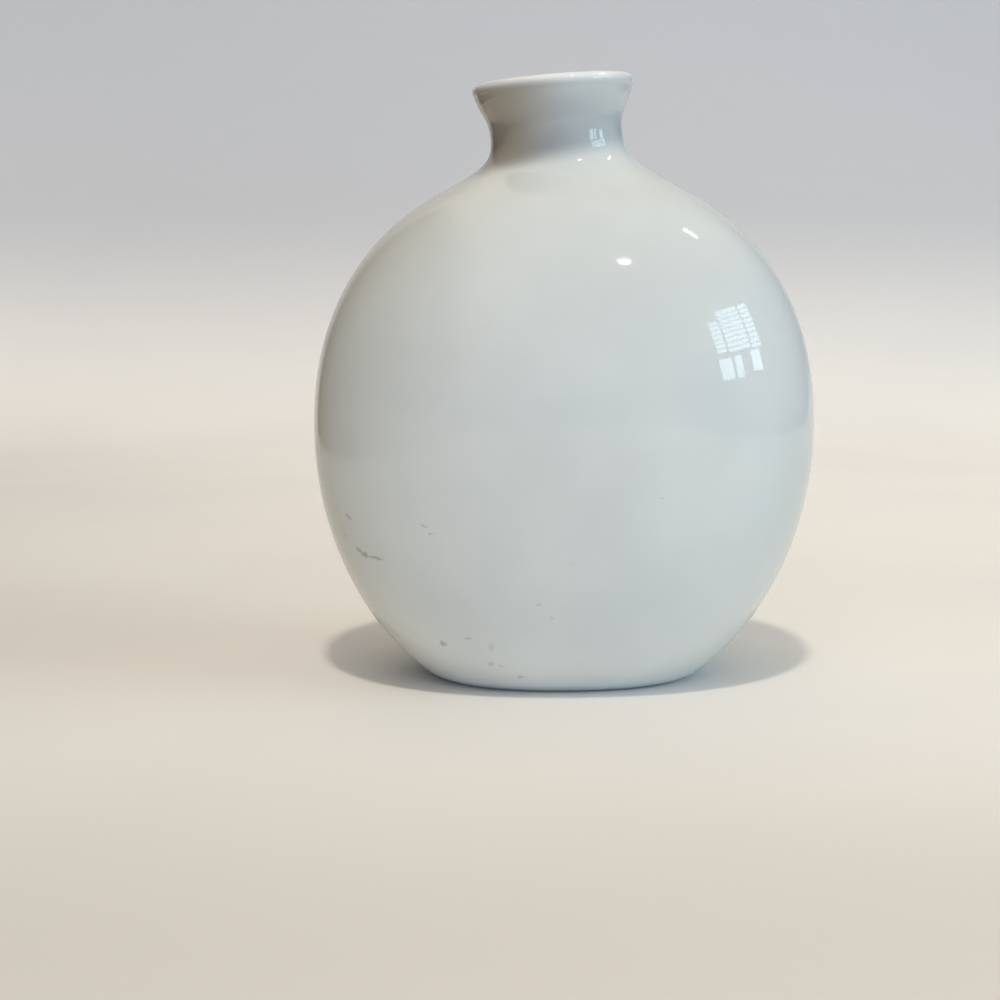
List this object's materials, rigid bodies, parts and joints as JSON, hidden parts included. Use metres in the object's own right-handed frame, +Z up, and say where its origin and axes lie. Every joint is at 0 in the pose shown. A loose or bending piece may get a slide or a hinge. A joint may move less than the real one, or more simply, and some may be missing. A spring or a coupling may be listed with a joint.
{
  "type": "bud vase",
  "caption": "Flattened round bud vase of white glazed ceramic with a short waisted neck, a flared rounded lip and an oval foot, for holding a few cut stems in water.",
  "frame": {"origin": "on the table, under the middle of the body", "axes": "+Z up, +X across the broad face to the right, -Y towards the viewer of the broad face"},
  "size_m": [0.1064, 0.078, 0.1276],
  "materials": {
    "white_glaze": "glossy transparent glaze over white clay",
    "foot_clay": "glazed wall, bare fired clay on the standing ring",
    "slip": "fired slip under the glaze"
  },
  "bodies": {
    "root": {"front_shell": "white_glaze", "rear_shell": "white_glaze", "neck": "white_glaze", "foot": "foot_clay", "left_seam": "slip", "right_seam": "slip", "neck_seam": "slip", "foot_seam": "slip"}
  },
  "joints": []
}
